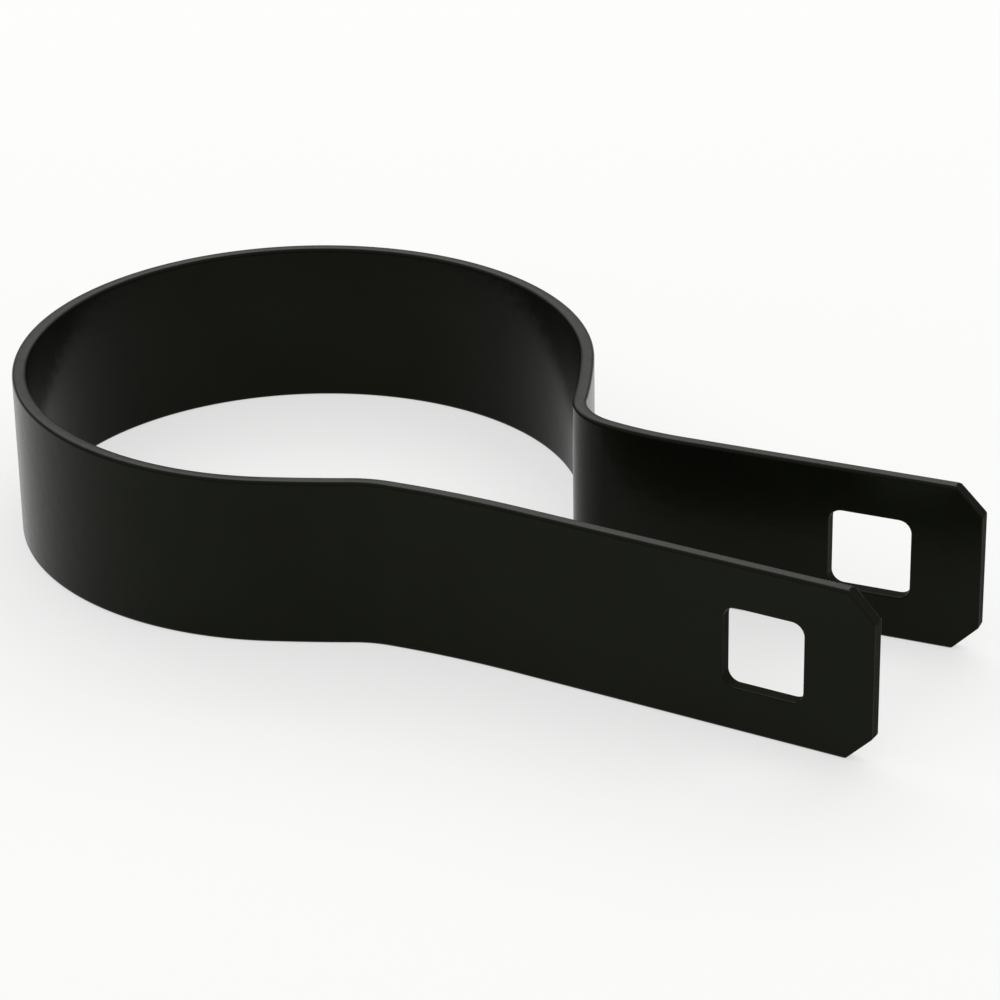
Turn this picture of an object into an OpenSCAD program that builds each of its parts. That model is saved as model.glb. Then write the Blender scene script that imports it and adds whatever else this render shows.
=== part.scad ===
// Fence tension band: one strip of flat steel, bent to a ring that clamps a round post, with two
// legs that a carriage bolt pulls together over the tension bar of a chain-link fabric.
// Millimetres. The ring's axis is Z, from the band's lower edge up; the flat leg points along +X
// on the -Y side. The band is as it leaves the press: sprung open, with no bolt in it.

/* [Strip] */
// Width of the strip, measured along the post
strip_width = 19.05; // [14:0.05:40]
// Thickness of the strip with its coating
strip_thickness = 1.6; // [1.2:0.1:3]
// Radius of the rolled edges of the strip
edge_radius = 0.4; // [0.1:0.05:0.55]

/* [Ring] */
// Inner diameter of the ring
ring_bore = 62; // [35:0.5:120]
// Turn of the necked leg about the ring's axis, by which the band is sprung open
spring_angle = 6.652; // [0:0.001:15]

/* [Flat leg, on the -Y side] */
// Angle from the leg's own direction at which the ring's arc ends
flat_leave_angle = 65.5; // [50:0.1:75]
// Turn of the flatter arc that follows the ring
flat_relax_angle = 3.5; // [1:0.5:8]
// Outer radius of that flatter arc
flat_relax_radius = 150; // [70:5:300]
// Radius of the reverse bend, on its hollow side
flat_bend_radius = 11; // [4:0.5:20]
// Turn of the eased end of the reverse bend
flat_ease_angle = 8.5; // [2:0.5:12]
// Radius of the eased end, on its hollow side
flat_ease_radius = 100; // [30:5:120]
// Distance from the ring's inner wall to the tip of the leg
flat_leg_reach = 50.3; // [45:0.1:90]

/* [Necked leg, on the +Y side] */
// Angle from the leg's own direction at which the ring's arc ends
neck_leave_angle = 20.8; // [14:0.1:40]
// Turn of the flatter arc that follows the ring
neck_relax_angle = 6; // [1:0.5:9]
// Outer radius of that flatter arc
neck_relax_radius = 103; // [70:1:300]
// Radius of the tight reverse bend, on its hollow side
neck_bend_radius = 6.3; // [2:0.1:10]
// Turn of the eased end of the reverse bend
neck_ease_angle = 13.5; // [4:0.5:20]
// Radius of the eased end, on its hollow side
neck_ease_radius = 38; // [15:1:50]
// Distance from the ring's inner wall to the tip of the leg
neck_leg_reach = 50; // [46:0.1:90]

/* [Leg ends] */
// Leg of the 45 degree corner cuts at both tips
tip_chamfer = 3; // [0.5:0.1:4]
// Width of the square bolt holes
hole_width = 9.1; // [6:0.1:10]
// Corner radius of the square bolt holes
hole_corner_radius = 1.4; // [0.3:0.1:2.5]
// Distance from the tip of a leg to the middle of its hole
hole_from_tip = 12.3; // [9:0.1:14]

/* [Hidden] */
ring_inner_radius = ring_bore / 2;
ring_outer_radius = ring_inner_radius + strip_thickness;
// The two legs: leave angle, relax angle and radius, bend radius, ease angle and radius, reach
flat_leg_sizes = [flat_leave_angle, flat_relax_angle, flat_relax_radius, flat_bend_radius,
                  flat_ease_angle, flat_ease_radius, ring_inner_radius + flat_leg_reach];
neck_leg_sizes = [neck_leave_angle, neck_relax_angle, neck_relax_radius, neck_bend_radius,
                  neck_ease_angle, neck_ease_radius, ring_inner_radius + neck_leg_reach];
cut_margin = 1;
coat_colour = [0.07, 0.07, 0.065];
$fa = 2;
$fs = 0.4;

function along(angle) = [cos(angle), sin(angle)];

// Moves a piece in a coarse and a fine step, which keeps the ends of the arcs exactly together.
module set_at(place) {
    coarse = [for (value = place) round(value * 100) / 100];
    translate(coarse) translate(place - coarse) children();
}

// Turns a piece about Z in the same way: by the angle, then by what rounding its matrix leaves.
module turn_by(angle) {
    coarse = atan2(round(sin(angle) * 1e6), round(cos(angle) * 1e6));
    rotate([0, 0, angle]) rotate([0, 0, angle - coarse]) children();
}

// The strip's cross-section with its four rolled edges, from x = 0 to the thickness.
module strip_section() {
    translate([edge_radius, 0])
        square([strip_thickness - 2 * edge_radius, strip_width]);
    translate([0, edge_radius])
        square([strip_thickness, strip_width - 2 * edge_radius]);
    for (x = [edge_radius, strip_thickness - edge_radius],
         y = [edge_radius, strip_width - edge_radius])
        translate([x, y]) circle(r = edge_radius, $fn = 32);
}

// One bend of the strip about an upright axis; near_radius is that of its hollow face.
module bend(near_radius, from_angle, to_angle) {
    rotate_extrude(angle = to_angle - from_angle, start = from_angle)
        translate([near_radius, 0]) strip_section();
}

// A square with rounded corners about its middle.
module rounded_square(width, corner) {
    inner = width - 2 * corner;
    square([width, inner], center = true);
    square([inner, width], center = true);
    for (x = [-1, 1], y = [-1, 1])
        translate([x * inner / 2, y * inner / 2]) circle(r = corner, $fn = 48);
}

// Turns a flat outline drawn in X and Z into a cutter that passes through the leg.
module through_leg() {
    translate([0, cut_margin, 0]) rotate([90, 0, 0])
        linear_extrude(strip_thickness + 2 * cut_margin) children();
}

// The straight part of a leg along +X, its outer face on y = 0, with its hole and cut corners.
module straight_leg(length) {
    difference() {
        translate([0, -strip_thickness, 0]) rotate([90, 0, 90])
            linear_extrude(length) strip_section();
        through_leg() {
            translate([length - hole_from_tip, strip_width / 2])
                rounded_square(hole_width, hole_corner_radius);
            for (side = [0, 1])
                translate([0, side * strip_width]) mirror([0, side])
                    polygon([[length - tip_chamfer - cut_margin, -cut_margin],
                             [length + cut_margin, tip_chamfer + cut_margin],
                             [length + cut_margin, -cut_margin]]);
        }
    }
}

// One leg on the +Y side, drawn along +X and turned about the ring's axis: a flatter arc that
// follows the ring, the reverse bend, its eased end and the straight part, each tangent to the last.
module leg(sizes, turn) {
    relaxed = sizes[0] - sizes[1] + turn;
    eased = 90 - sizes[4] + turn;
    relax_centre = -(sizes[2] - ring_outer_radius) * along(sizes[0] + turn);
    bend_centre = relax_centre + (sizes[2] + sizes[3]) * along(relaxed);
    ease_centre = bend_centre + (sizes[5] - sizes[3]) * along(eased);
    leg_start = ease_centre - sizes[5] * along(90 + turn);
    straight_from = norm(leg_start) * cos(atan2(leg_start.y, leg_start.x) - turn);

    set_at([relax_centre.x, relax_centre.y, 0])
        bend(sizes[2] - strip_thickness, relaxed, sizes[0] + turn);
    set_at([bend_centre.x, bend_centre.y, 0])
        bend(sizes[3], relaxed + 180, eased + 180);
    set_at([ease_centre.x, ease_centre.y, 0])
        bend(sizes[5], eased + 180, 270 + turn);
    set_at([leg_start.x, leg_start.y, 0]) turn_by(turn)
        straight_leg(sizes[6] - straight_from);
}

// The band: one strip, with the ring's arc running from the one leg to the other.
module band() {
    color(coat_colour) {
        bend(ring_inner_radius, neck_leave_angle + spring_angle, 360 - flat_leave_angle);
        mirror([0, 1, 0]) leg(flat_leg_sizes, 0);
        leg(neck_leg_sizes, spring_angle);
    }
}

band();
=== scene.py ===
"""Fence tension band: a strip of flat steel bent round a post, powder coated black.

Lengths are in metres. The frame is the CAD model's own: the ring's axis is Z, from the band's
lower edge up, and the flat leg points along +X on the -Y side.
"""

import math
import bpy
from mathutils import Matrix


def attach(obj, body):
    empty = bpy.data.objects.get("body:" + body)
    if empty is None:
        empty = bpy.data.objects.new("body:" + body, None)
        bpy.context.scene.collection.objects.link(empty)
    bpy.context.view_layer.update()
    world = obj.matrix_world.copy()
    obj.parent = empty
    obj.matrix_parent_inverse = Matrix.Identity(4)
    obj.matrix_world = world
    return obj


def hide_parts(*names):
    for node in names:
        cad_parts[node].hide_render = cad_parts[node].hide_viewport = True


bl_info = {
    "name": "Fence Tension Band",
    "version": (1, 0, 0),
    "blender": (4, 5, 0),
    "location": "3D Viewport > Sidebar > Tension Band",
    "description": "Rolls a powder-coated fence tension band and sets up a small studio round it",
    "category": "Add Mesh",
}

import bmesh
import bpy
from bpy.props import FloatProperty, FloatVectorProperty, PointerProperty
from mathutils import Matrix, Vector

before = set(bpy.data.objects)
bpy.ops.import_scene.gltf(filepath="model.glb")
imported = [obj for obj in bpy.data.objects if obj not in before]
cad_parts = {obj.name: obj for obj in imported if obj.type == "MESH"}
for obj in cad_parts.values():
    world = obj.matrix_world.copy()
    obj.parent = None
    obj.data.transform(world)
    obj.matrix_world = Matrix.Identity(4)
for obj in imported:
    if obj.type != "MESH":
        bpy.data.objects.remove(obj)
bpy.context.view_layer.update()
MM = 0.001


def linear(hex_colour):
    """An sRGB hex colour as linear red, green, blue and alpha."""
    parts = [int(hex_colour[i:i + 2], 16) / 255 for i in (1, 3, 5)]
    return [c / 12.92 if c <= 0.04045 else ((c + 0.055) / 1.055) ** 2.4 for c in parts] + [1.0]


def length(name, description, millimetres, lowest, highest):
    """A length setting; its default and limits are given in millimetres."""
    return FloatProperty(name=name, description=description, default=millimetres * MM,
                         min=lowest * MM, max=highest * MM, unit="LENGTH", precision=5)


def angle(name, description, degrees, lowest, highest):
    """An angle setting; its default and limits are given in degrees."""
    return FloatProperty(name=name, description=description, default=math.radians(degrees),
                         min=math.radians(lowest), max=math.radians(highest), subtype="ANGLE")


def tint(name, description, hex_colour):
    """A colour setting; its default is given as sRGB hex."""
    return FloatVectorProperty(name=name, description=description, default=linear(hex_colour),
                               min=0, max=1, size=4, subtype="COLOR")


# ---- Sizes and colours that a user would change


class StripSizes(bpy.types.PropertyGroup):
    """The flat steel strip with its coating."""
    width: length("Width", "Width of the strip, measured along the post", 19.05, 14, 40)
    thickness: length("Thickness", "Thickness of the strip with its coating", 1.6, 1.2, 3)
    rolled_edge: length("Rolled edge", "Radius of the rolled edges of the strip", 0.4, 0.1, 0.55)
    cut_edge: length("Cut edge", "Rounding that the coating leaves on punched and sheared edges",
                     0.18, 0.05, 0.3)


class RingSizes(bpy.types.PropertyGroup):
    """The ring that clamps the post."""
    bore: length("Bore", "Inner diameter of the ring", 62, 35, 120)
    spring: angle("Spring", "Turn of the necked leg by which the band is sprung open",
                  6.652, 0, 15)


class FlatLegSizes(bpy.types.PropertyGroup):
    """The long gentle bend of the leg on the -Y side."""
    leave: angle("Leave", "Angle from the leg's direction at which the ring's arc ends",
                 65.5, 50, 75)
    relax: angle("Relax", "Turn of the flatter arc that follows the ring", 3.5, 1, 8)
    relax_radius: length("Relax radius", "Outer radius of that flatter arc", 150, 70, 300)
    bend_radius: length("Bend radius", "Radius of the reverse bend on its hollow side", 11, 4, 20)
    ease: angle("Ease", "Turn of the eased end of the reverse bend", 8.5, 2, 12)
    ease_radius: length("Ease radius", "Radius of the eased end on its hollow side", 100, 30, 120)
    reach: length("Reach", "Distance from the ring's inner wall to the tip", 50.3, 45, 90)


class NeckedLegSizes(bpy.types.PropertyGroup):
    """The tight neck of the leg on the +Y side."""
    leave: angle("Leave", "Angle from the leg's direction at which the ring's arc ends",
                 20.8, 14, 40)
    relax: angle("Relax", "Turn of the flatter arc that follows the ring", 6, 1, 9)
    relax_radius: length("Relax radius", "Outer radius of that flatter arc", 103, 70, 300)
    bend_radius: length("Bend radius", "Radius of the reverse bend on its hollow side", 6.3, 2, 10)
    ease: angle("Ease", "Turn of the eased end of the reverse bend", 13.5, 4, 20)
    ease_radius: length("Ease radius", "Radius of the eased end on its hollow side", 38, 15, 50)
    reach: length("Reach", "Distance from the ring's inner wall to the tip", 50, 46, 90)


class LegEndSizes(bpy.types.PropertyGroup):
    """The punched and sheared ends of both legs."""
    corner_cut: length("Corner cut", "Leg of the 45 degree corner cuts", 3, 0.5, 4)
    hole_width: length("Hole width", "Width of the square bolt holes", 9.1, 6, 10)
    hole_corner: length("Hole corner", "Corner radius of the square bolt holes", 1.4, 0.3, 2.5)
    hole_from_tip: length("Hole from tip", "Distance from the tip to the middle of the hole",
                          12.3, 9, 14)


class CoatSettings(bpy.types.PropertyGroup):
    """The powder coat."""
    colour: tint("Colour", "Colour of the cured powder coat", "#0f110b")
    thin_colour: tint("Colour where thin", "Colour of the thin coat on sheared edges", "#1c1d18")
    peel: length("Orange peel", "Distance between the soft humps of the cured coat", 1.6, 0.3, 6)


class StudioSettings(bpy.types.PropertyGroup):
    """The camera, the lamp and the floor."""
    target: FloatVectorProperty(name="Target", description="Point that the camera and lamp face",
                                size=3, subtype="TRANSLATION", unit="LENGTH", precision=5,
                                default=(27.659 * MM, -4.34 * MM, 9.254 * MM))
    azimuth: angle("Azimuth", "Camera direction round the ring's axis, from -Y towards +X",
                   30.1203, -360, 360)
    elevation: angle("Elevation", "Camera height above the horizon", 26.1338, -90, 90)
    roll: angle("Roll", "Tilt of the camera about its own line of sight", -0.9388, -180, 180)
    distance: length("Distance", "Distance from the camera to its target", 435.969, 50, 9000)
    lens: FloatProperty(name="Lens", description="Focal length on a 36 mm wide sensor",
                        default=143.634, min=10, max=500, unit="CAMERA")
    lamp_rise: angle("Lamp rise", "Height of the softbox above the horizon", 40, 0, 90)
    lamp_power: FloatProperty(name="Lamp power", description="Power of the softbox",
                              default=11, min=0, max=500, unit="POWER")
    floor_colour: tint("Floor", "Colour of the paper floor", "#f7f7f5")


SETTINGS = {"band_strip": StripSizes, "band_ring": RingSizes, "band_flat_leg": FlatLegSizes,
            "band_necked_leg": NeckedLegSizes, "band_leg_ends": LegEndSizes,
            "band_coat": CoatSettings, "band_studio": StudioSettings}


# ---- Making the mesh

SHEARED = 1  # the material slot of the sheared and punched faces

ROLLED_FACES = 6  # faces across a rolled edge
COATED_FACES = 4  # faces across an edge that only the coating rounds
CORNER_FACES = 8  # faces round a corner of a hole
LEAST_FACES = 4  # faces along the shortest bend
FACE_TURN = math.radians(1)  # the most that the strip turns in one of its faces
FACE_LENGTH = 0.6 * MM  # the most that such a face measures along the strip

TINY = 0.001 * MM  # two places closer than this are one
WELD = 0.01 * MM  # the pieces of the strip are joined across this distance
SHARP = math.radians(35)  # an edge that turns further than this was sheared or punched
THROUGH = 0.001  # a normal that leans less than this to Y is that of a cut through the strip


def along(turn, rise=0):
    """The direction at a turn about Z from +X, and a rise above the horizon."""
    level = math.cos(rise)
    return Vector((math.cos(turn) * level, math.sin(turn) * level, math.sin(rise)))


def leg_arcs(leg, ring_outer, turn):
    """The arcs of a leg on the +Y side, from the ring outwards, as (centre, turn) pairs, and the
    place where the outer face of its straight part starts. Each arc is tangent to the last."""
    relaxed = leg.leave - leg.relax + turn
    eased = math.pi / 2 - leg.ease + turn
    relax_centre = -(leg.relax_radius - ring_outer) * along(leg.leave + turn)
    bend_centre = relax_centre + (leg.relax_radius + leg.bend_radius) * along(relaxed)
    ease_centre = bend_centre + (leg.ease_radius - leg.bend_radius) * along(eased)
    start = ease_centre - leg.ease_radius * along(math.pi / 2 + turn)
    arcs = [(relax_centre, -leg.relax), (bend_centre, eased - relaxed), (ease_centre, leg.ease)]
    return arcs, start


def rectangle(mesh, low, high, is_cut, cut, faces):
    """Adds a flat rectangle in X and Y. The corners that is_cut picks are cut or rounded."""
    width, height = (high[i] - low[i] for i in (0, 1))
    middle = ((low[0] + high[0]) / 2, (low[1] + high[1]) / 2, 0)
    corners = bmesh.ops.create_grid(mesh, x_segments=1, y_segments=1, size=0.5)["verts"]
    bmesh.ops.scale(mesh, vec=(width, height, 1), verts=corners)
    bmesh.ops.translate(mesh, vec=middle, verts=corners)
    bmesh.ops.bevel(mesh, geom=[corner for corner in corners if is_cut(corner.co)], offset=cut,
                    offset_type="OFFSET", segments=faces, profile=0.5, affect="VERTICES",
                    clamp_overlap=False, material=-1)


def round_edges(mesh, edges, radius, faces):
    """Rounds some edges to a radius, with a number of faces across each."""
    bmesh.ops.bevel(mesh, geom=edges, offset=radius, offset_type="OFFSET", segments=faces,
                    profile=0.5, affect="EDGES", clamp_overlap=False, material=-1)


def punched_leg(strip, ends, reach):
    """The straight part of a leg along +X, its outer face on y = 0: punched, sheared at the tip,
    and open at x = 0, where the bends begin."""
    mesh = bmesh.new()
    rectangle(mesh, (0, 0), (reach, strip.width), lambda place: place.x > reach / 2,
              ends.corner_cut, 1)
    half = Vector((ends.hole_width / 2, ends.hole_width / 2))
    middle = Vector((reach - ends.hole_from_tip, strip.width / 2))
    rectangle(mesh, middle - half, middle + half, lambda place: True, ends.hole_corner,
              CORNER_FACES)
    bmesh.ops.delete(mesh, geom=mesh.faces[:], context="FACES_ONLY")
    bmesh.ops.triangle_fill(mesh, use_beauty=True, use_dissolve=True, edges=mesh.edges[:])
    bmesh.ops.rotate(mesh, cent=(0, 0, 0), matrix=Matrix.Rotation(math.pi / 2, 3, "X"),
                     verts=mesh.verts[:])
    top = bmesh.ops.extrude_face_region(mesh, geom=mesh.faces[:], use_keep_orig=True)["geom"]
    bmesh.ops.translate(mesh, vec=(0, -strip.thickness, 0),
                        verts=[item for item in top if isinstance(item, bmesh.types.BMVert)])
    bmesh.ops.recalc_face_normals(mesh, faces=mesh.faces[:])

    # The strip's long edges, which came rolled from the mill.
    rolled = [edge for edge in mesh.edges
              if all(min(v.co.z, strip.width - v.co.z) < TINY for v in edge.verts)
              and abs(edge.verts[0].co.y - edge.verts[1].co.y) < TINY
              and abs(edge.verts[0].co.x - edge.verts[1].co.x) > ends.hole_width]
    round_edges(mesh, rolled, strip.rolled_edge, ROLLED_FACES)
    back = [face for face in mesh.faces if all(v.co.x < TINY for v in face.verts)]
    bmesh.ops.delete(mesh, geom=back, context="FACES_ONLY")

    # The edges that the punch and the shear left, which only the coating rounds.
    sheared = [edge for edge in mesh.edges
               if edge.is_manifold and edge.calc_face_angle(0) > SHARP]
    round_edges(mesh, sheared, strip.cut_edge, COATED_FACES)
    for face in mesh.faces:
        height = face.calc_center_median().z
        if abs(face.normal.y) < THROUGH and TINY < height < strip.width - TINY:
            face.material_index = SHEARED
    return mesh


def add_piece(mesh, part, placing):
    """Moves a finished part into place and adds it to the mesh of the whole."""
    bmesh.ops.transform(part, matrix=placing, verts=part.verts[:])
    spare = bpy.data.meshes.new("spare")
    part.to_mesh(spare)
    part.free()
    mesh.from_mesh(spare)
    bpy.data.meshes.remove(spare)


def rolled_band(strip, ring, flat, necked, ends):
    """The whole strip: the flat leg, its bends, the ring, the bends of the neck, the necked leg."""
    inner = ring.bore / 2
    flat_arcs, flat_start = leg_arcs(flat, inner + strip.thickness, 0)
    neck_arcs, neck_start = leg_arcs(necked, inner + strip.thickness, ring.spring)
    mirrored = Matrix.Diagonal((1, -1, 1, 1))
    mesh = bmesh.new()
    add_piece(mesh, punched_leg(strip, ends, inner + flat.reach - flat_start.x),
              mirrored @ Matrix.Translation(flat_start))

    # The open end of the flat leg is spun along every bend, up to the necked leg.
    section = [edge for edge in mesh.edges if edge.is_boundary]
    around = -(2 * math.pi - flat.leave - necked.leave - ring.spring)
    path = [(mirrored @ centre, turn) for centre, turn in reversed(flat_arcs)]
    path += [(Vector((0, 0, 0)), around)] + neck_arcs
    for centre, turn in path:
        verts = list(dict.fromkeys(vert for edge in section for vert in edge.verts))
        radius = max((Vector(vert.co.xy) - Vector(centre.xy)).length for vert in verts)
        steps = max(LEAST_FACES, math.ceil(abs(turn) / FACE_TURN),
                    math.ceil(abs(turn) * radius / FACE_LENGTH))
        spun = bmesh.ops.spin(mesh, geom=verts + section, cent=centre, axis=(0, 0, 1),
                              angle=turn, steps=steps, use_merge=False)["geom_last"]
        section = [item for item in spun if isinstance(item, bmesh.types.BMEdge)]
    straight_from = neck_start.dot(along(ring.spring))
    add_piece(mesh, punched_leg(strip, ends, inner + necked.reach - straight_from),
              Matrix.Translation(neck_start) @ Matrix.Rotation(ring.spring, 4, "Z"))

    bmesh.ops.remove_doubles(mesh, verts=mesh.verts[:], dist=WELD)
    bmesh.ops.recalc_face_normals(mesh, faces=mesh.faces[:])
    open_edges = [edge for edge in mesh.edges if not edge.is_manifold]
    if open_edges:
        raise RuntimeError(f"the band has {len(open_edges)} open edges")
    for face in mesh.faces:
        face.smooth = True
    return mesh


def new_object(name, mesh, *materials):
    """A finished mesh as an object in the scene, at the origin, with its materials in order."""
    data = bpy.data.meshes.new(name)
    mesh.to_mesh(data)
    mesh.free()
    for material in materials:
        data.materials.append(material)
    made = bpy.data.objects.new(name, data)
    bpy.context.scene.collection.objects.link(made)
    return made


# ---- Materials

WHITE = (1, 1, 1, 1)
POLYESTER_IOR = 1.5
OLIVE_CAST = (0.94, 1.0, 0.82, 1)  # what the coat mirrors squarely takes this faint tint
NOISE_RANGE = (("From Min", 0.3), ("From Max", 0.7))  # nearly all of a noise lies in it
PAPER_WHITE = 0.6  # share of plain white in the floor where it is seen or mirrored


def add_node(tree, kind, links=(), **settings):
    """Adds a node; settings are its properties, links its inputs as (name, value or socket)."""
    node = tree.nodes.new(kind)
    for name, value in settings.items():
        setattr(node, name, value)
    for name, value in links:
        if isinstance(value, bpy.types.NodeSocket):
            tree.links.new(value, node.inputs[name])
        else:
            node.inputs[name].default_value = value
    return node


def empty_material(name):
    """A new material and its node tree, with nothing in it."""
    material = bpy.data.materials.new(name)
    material.use_nodes = True
    material.node_tree.nodes.clear()
    return material, material.node_tree


def powder_coated_steel(coat):
    """Polyester powder, sprayed and baked on steel: one thick skin with a satin gloss, which
    flowed into shallow humps (orange peel) and carries a finer grain between them."""
    material, tree = empty_material("powder_coated_steel")
    place = add_node(tree, "ShaderNodeTexCoord").outputs["Object"]
    peel = add_node(tree, "ShaderNodeTexNoise", [("Vector", place), ("Scale", 1 / coat.peel),
                                                 ("Detail", 1.5), ("Roughness", 0.4)])
    # Powder grain is about 0.05 mm; drawn at 0.25 mm, so that it shows.
    grain = add_node(tree, "ShaderNodeTexNoise", [("Vector", place), ("Scale", 1 / (0.25 * MM)),
                                                  ("Detail", 2.0), ("Roughness", 0.6)])
    # The skin's thickness drifts between 0.06 and 0.09 mm, in clouds about 10 mm across, and its
    # depth of colour with it.
    build = add_node(tree, "ShaderNodeTexNoise", [("Vector", place), ("Scale", 1 / (10 * MM)),
                                                  ("Detail", 2.0), ("Roughness", 0.5)])
    depth = add_node(tree, "ShaderNodeMapRange", [("Value", build.outputs["Fac"]), *NOISE_RANGE,
                                                  ("To Min", 0.85), ("To Max", 1.15)])
    shade = add_node(tree, "ShaderNodeHueSaturation", [("Color", coat.colour),
                                                       ("Value", depth.outputs["Result"])])
    humps = add_node(tree, "ShaderNodeBump", [("Height", peel.outputs["Fac"]), ("Strength", 1.0),
                                              ("Distance", 0.022 * MM)])
    skin = add_node(tree, "ShaderNodeBump", [("Height", grain.outputs["Fac"]), ("Strength", 1.0),
                                             ("Distance", 0.007 * MM),
                                             ("Normal", humps.outputs["Normal"])])
    gloss = add_node(tree, "ShaderNodeMapRange", [("Value", grain.outputs["Fac"]), *NOISE_RANGE,
                                                  ("To Min", 0.18), ("To Max", 0.26)])
    # The pigment and filler at the surface leave it with weaker reflections than clear polyester.
    shader = add_node(tree, "ShaderNodeBsdfPrincipled",
                      [("Base Color", shade.outputs["Color"]),
                       ("Roughness", gloss.outputs["Result"]), ("IOR", POLYESTER_IOR),
                       ("Specular IOR Level", 0.09), ("Specular Tint", OLIVE_CAST),
                       ("Normal", skin.outputs["Normal"])])
    add_node(tree, "ShaderNodeOutputMaterial", [("Surface", shader.outputs["BSDF"])])
    return material


def coated_sheared_edge(coat):
    """The same powder over a sheared or punched face: the coat is thin there, duller and a little
    paler, and the fine lines that the blade drew through the steel still show in it."""
    material, tree = empty_material("powder_coated_sheared_edge")
    place = add_node(tree, "ShaderNodeTexCoord").outputs["Object"]
    # Shear lines are about 0.1 mm apart; drawn at 0.4 mm, and five times as long across the strip.
    across = add_node(tree, "ShaderNodeMapping", [("Vector", place), ("Scale", (1.0, 0.2, 1.0))])
    lines = add_node(tree, "ShaderNodeTexNoise", [("Vector", across.outputs["Vector"]),
                                                  ("Scale", 1 / (0.4 * MM)), ("Detail", 2.0),
                                                  ("Roughness", 0.6)])
    skin = add_node(tree, "ShaderNodeBump", [("Height", lines.outputs["Fac"]), ("Strength", 1.0),
                                             ("Distance", 0.012 * MM)])
    gloss = add_node(tree, "ShaderNodeMapRange", [("Value", lines.outputs["Fac"]), *NOISE_RANGE,
                                                  ("To Min", 0.4), ("To Max", 0.55)])
    shader = add_node(tree, "ShaderNodeBsdfPrincipled",
                      [("Base Color", coat.thin_colour), ("Roughness", gloss.outputs["Result"]),
                       ("IOR", POLYESTER_IOR), ("Specular IOR Level", 0.008),
                       ("Specular Tint", OLIVE_CAST), ("Normal", skin.outputs["Normal"])])
    add_node(tree, "ShaderNodeOutputMaterial", [("Surface", shader.outputs["BSDF"])])
    return material


def paper_floor(paper_colour):
    """Matt white background paper, with no sheen of its own. Where it is seen or mirrored, part
    of it is plain white, which leaves the band's shadow light."""
    material, tree = empty_material("matt_background_paper")
    paper = add_node(tree, "ShaderNodeBsdfDiffuse", [("Color", paper_colour)])
    white = add_node(tree, "ShaderNodeEmission", [("Color", WHITE), ("Strength", 1.0)])
    ray = add_node(tree, "ShaderNodeLightPath").outputs
    seen = add_node(tree, "ShaderNodeMath", [(0, ray["Is Camera Ray"]), (1, ray["Is Glossy Ray"])],
                    operation="MAXIMUM")
    seen = add_node(tree, "ShaderNodeMath",
                    [(0, seen.outputs[0]), (1, ray["Is Transmission Ray"])], operation="MAXIMUM")
    share = add_node(tree, "ShaderNodeMath", [(0, seen.outputs[0]), (1, PAPER_WHITE)],
                     operation="MULTIPLY")
    mix = add_node(tree, "ShaderNodeMixShader", [(0, share.outputs[0]), (1, paper.outputs["BSDF"]),
                                                 (2, white.outputs["Emission"])])
    add_node(tree, "ShaderNodeOutputMaterial", [("Surface", mix.outputs["Shader"])])
    return material


# ---- The studio

FLOOR_RADIUS = 6.0
FLOOR_SIDES = 96
FLOOR_GAP = 0.02 * MM  # the floor lies this far below the band, so that they never share a plane
HORIZON = {"rise": 0.3, "strength": 0.4}  # up to this rise, as a sine, the white stays this weak
CEILING = {"rise": 0.55, "strength": 0.85}  # and from this one on it is this strong
LAMP_DISTANCE = 1.5
LAMP_SIZE = (2.4, 0.9)
SENSOR_WIDTH = 36  # in millimetres, as Blender takes it
CLIP_START = 10 * MM


def white_surroundings():
    """A world like a white ceiling that dims towards the horizon."""
    world = bpy.data.worlds.new("white_studio")
    world.use_nodes = True
    tree = world.node_tree
    tree.nodes.clear()
    way = add_node(tree, "ShaderNodeTexCoord").outputs["Generated"]
    rise = add_node(tree, "ShaderNodeSeparateXYZ", [("Vector", way)]).outputs["Z"]
    level = add_node(tree, "ShaderNodeMapRange",
                     [("Value", rise), ("From Min", HORIZON["rise"]),
                      ("From Max", CEILING["rise"]), ("To Min", HORIZON["strength"]),
                      ("To Max", CEILING["strength"])])
    air = add_node(tree, "ShaderNodeBackground", [("Color", WHITE),
                                                  ("Strength", level.outputs["Result"])])
    add_node(tree, "ShaderNodeOutputWorld", [("Surface", air.outputs["Background"])])
    return world


def softbox(name, place, target, size, power):
    """Adds a soft rectangular lamp that shines from a place to a target."""
    lamp = bpy.data.lights.new(name, "AREA")
    lamp.shape = "RECTANGLE"
    lamp.size, lamp.size_y = size
    lamp.energy = power
    made = bpy.data.objects.new(name, lamp)
    made.location = place
    made.rotation_euler = (target - place).to_track_quat("-Z", "Y").to_euler()
    bpy.context.scene.collection.objects.link(made)


def studio_camera(studio, target):
    """Adds the camera, which looks at the target."""
    lens = bpy.data.cameras.new("studio_camera")
    lens.sensor_width = SENSOR_WIDTH
    lens.lens = studio.lens
    lens.clip_start = CLIP_START
    camera = bpy.data.objects.new("studio_camera", lens)
    back = along(studio.azimuth - math.pi / 2, studio.elevation)
    right = along(studio.azimuth)
    turned = Matrix((right, back.cross(right), back)).transposed().to_4x4()
    camera.matrix_world = (Matrix.Translation(target + studio.distance * back) @ turned
                           @ Matrix.Rotation(studio.roll, 4, "Z"))
    bpy.context.scene.collection.objects.link(camera)
    return camera


# ---- Operators, panel and registration


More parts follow.
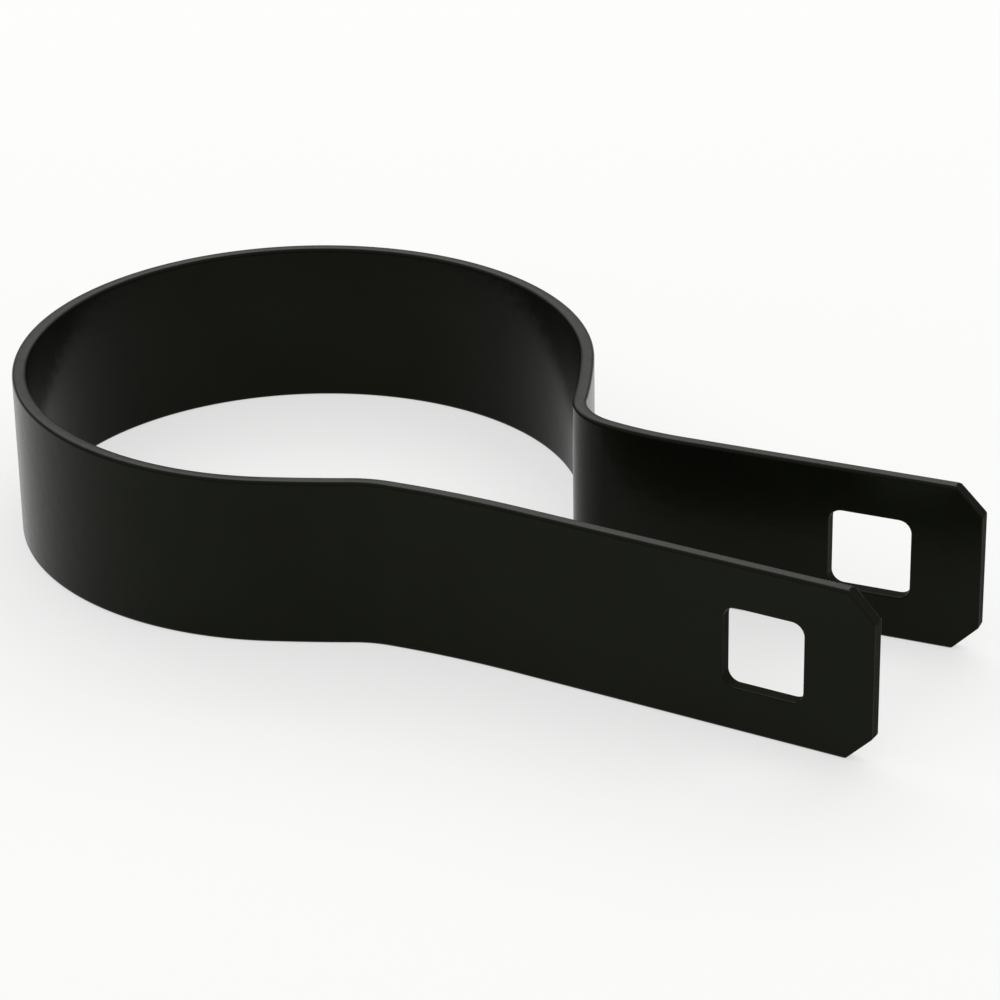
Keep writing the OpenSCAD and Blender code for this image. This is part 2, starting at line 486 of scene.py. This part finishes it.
class TENSIONBAND_OT_band(bpy.types.Operator):
    """Roll the strip into the band, punch and cut its legs and coat it"""
    bl_idname = "tension_band.band"
    bl_label = "Tension Band"
    bl_options = {"REGISTER", "UNDO"}

    def execute(self, context):
        scene = context.scene
        mesh = rolled_band(scene.band_strip, scene.band_ring, scene.band_flat_leg,
                           scene.band_necked_leg, scene.band_leg_ends)
        band = new_object("rolled_band", mesh, powder_coated_steel(scene.band_coat),
                          coated_sheared_edge(scene.band_coat))
        band.modifiers.new("flat faces stay flat", "WEIGHTED_NORMAL")
        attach(band, "root")
        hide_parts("band")
        return {"FINISHED"}


class TENSIONBAND_OT_studio(bpy.types.Operator):
    """Set up the floor, the surroundings, the lamp and the camera"""
    bl_idname = "tension_band.studio"
    bl_label = "Studio"
    bl_options = {"REGISTER", "UNDO"}

    def execute(self, context):
        scene = context.scene
        studio = scene.band_studio
        target = Vector(studio.target)

        mesh = bmesh.new()
        bmesh.ops.create_circle(mesh, cap_ends=True, segments=FLOOR_SIDES, radius=FLOOR_RADIUS)
        bmesh.ops.translate(mesh, vec=(0, 0, -FLOOR_GAP), verts=mesh.verts[:])
        floor = new_object("paper_floor", mesh, paper_floor(studio.floor_colour))

        scene.world = white_surroundings()
        # A wide softbox behind the band, its lower edge 23 degrees up: the rims mirror it.
        behind = along(studio.azimuth + math.pi / 2, studio.lamp_rise)
        softbox("back_softbox", target + LAMP_DISTANCE * behind, target, LAMP_SIZE,
                studio.lamp_power)
        scene.camera = studio_camera(studio, target)
        scene.view_settings.view_transform = "Standard"
        return {"FINISHED"}


class TENSIONBAND_PT_sidebar(bpy.types.Panel):
    """The band's sizes and its buttons"""
    bl_idname = "TENSIONBAND_PT_sidebar"
    bl_label = "Tension Band"
    bl_space_type = "VIEW_3D"
    bl_region_type = "UI"
    bl_category = "Tension Band"

    def draw(self, context):
        for operator in (TENSIONBAND_OT_band, TENSIONBAND_OT_studio):
            self.layout.operator(operator.bl_idname)
        for name, group in SETTINGS.items():
            box = self.layout.box()
            box.label(text=group.__doc__)
            for size in group.__annotations__:
                box.prop(getattr(context.scene, name), size)


CLASSES = (*SETTINGS.values(), TENSIONBAND_OT_band, TENSIONBAND_OT_studio, TENSIONBAND_PT_sidebar)


def register():
    for item in CLASSES:
        bpy.utils.register_class(item)
    for name, group in SETTINGS.items():
        setattr(bpy.types.Scene, name, PointerProperty(type=group))


def unregister():
    for name in SETTINGS:
        delattr(bpy.types.Scene, name)
    for item in reversed(CLASSES):
        bpy.utils.unregister_class(item)


def main():
    """Makes the band and the studio."""
    register()
    bpy.ops.tension_band.band()
    bpy.ops.tension_band.studio()


if __name__ == "__main__":
    main()
